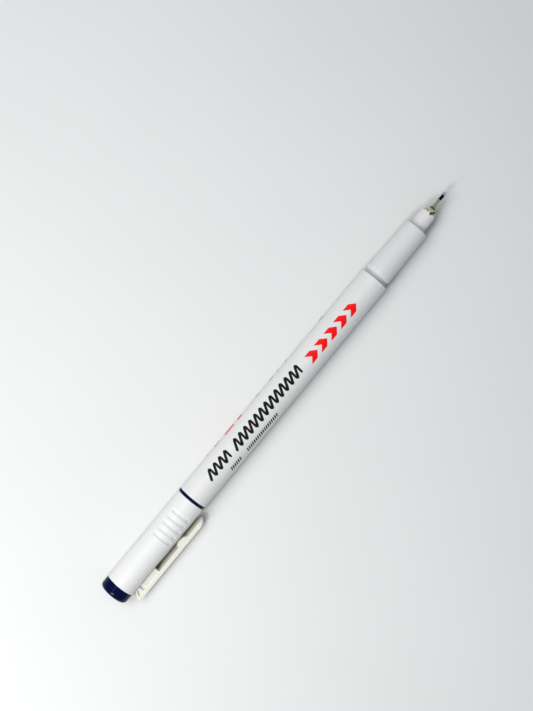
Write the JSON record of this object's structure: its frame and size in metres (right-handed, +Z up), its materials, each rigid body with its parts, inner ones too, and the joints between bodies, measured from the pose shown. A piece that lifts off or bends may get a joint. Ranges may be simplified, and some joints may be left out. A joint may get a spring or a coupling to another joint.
{
  "type": "capped drawing pen",
  "caption": "Slim fibre-fed drawing pen with a chisel nib in a brass tube, tubular barrel, grooved push-on cap with a side clip, posted on the tail.",
  "frame": {"origin": "on the surface the pen lies on, under the centre of its bounding box", "axes": "+X along the pen towards its nib, +Z up from the surface, clip on the -Y side"},
  "size_m": [0.1632, 0.0132, 0.0099],
  "materials": {
    "white_plastic": "moulded white plastic, satin gloss",
    "barrel_plastic": "white extruded plastic, satin gloss, with plain printed marks",
    "grip_plastic": "white plastic, satin",
    "nose_plastic": "white plastic, satin",
    "clip_plastic": "warm ivory plastic, satin gloss",
    "navy_plastic": "dark navy blue plastic, high gloss",
    "liner_plastic": "soft natural plastic",
    "brass": "turned brass, slightly dull",
    "nib_plastic": "hard fibre nib stained by dark blue ink, its ground chisel face grey violet",
    "fibre": "bundled fibre soaked with dark blue ink",
    "film": "thin clear wrapping film"
  },
  "bodies": {
    "pen": {"barrel": "barrel_plastic", "tail_plug": "navy_plastic", "grip_section": "grip_plastic", "nose_cone": "nose_plastic", "nib_holder": "brass", "nib_tube": "brass", "nib": "nib_plastic", "feed_wick": "fibre", "ink_reservoir": "fibre", "reservoir_film": "film"},
    "cap_core": {"inner_cap": "liner_plastic"},
    "cap": {"cap_shell": "white_plastic", "cap_top": "navy_plastic", "clip_mount": "clip_plastic"},
    "clip": {"clip_arm": "clip_plastic"}
  },
  "joints": [
    {"name": "cap_pull", "type": "slide", "parent": "pen", "child": "cap_core", "axis": [-1, 0, 0], "range_m": [0, 0.03]},
    {"name": "cap_turn", "type": "hinge", "parent": "cap_core", "child": "cap", "pos_m": [-0.06, 0.00163, 0.00494], "axis": [1, 0, 0], "continuous": true},
    {"name": "clip_flex", "type": "hinge", "parent": "cap", "child": "clip", "pos_m": [-0.0667, -0.00511, 0.00213], "axis": [0, 0.3842, -0.9233], "range_deg": [0, 4], "stiffness_Nm_per_rad": 0.05}
  ]
}
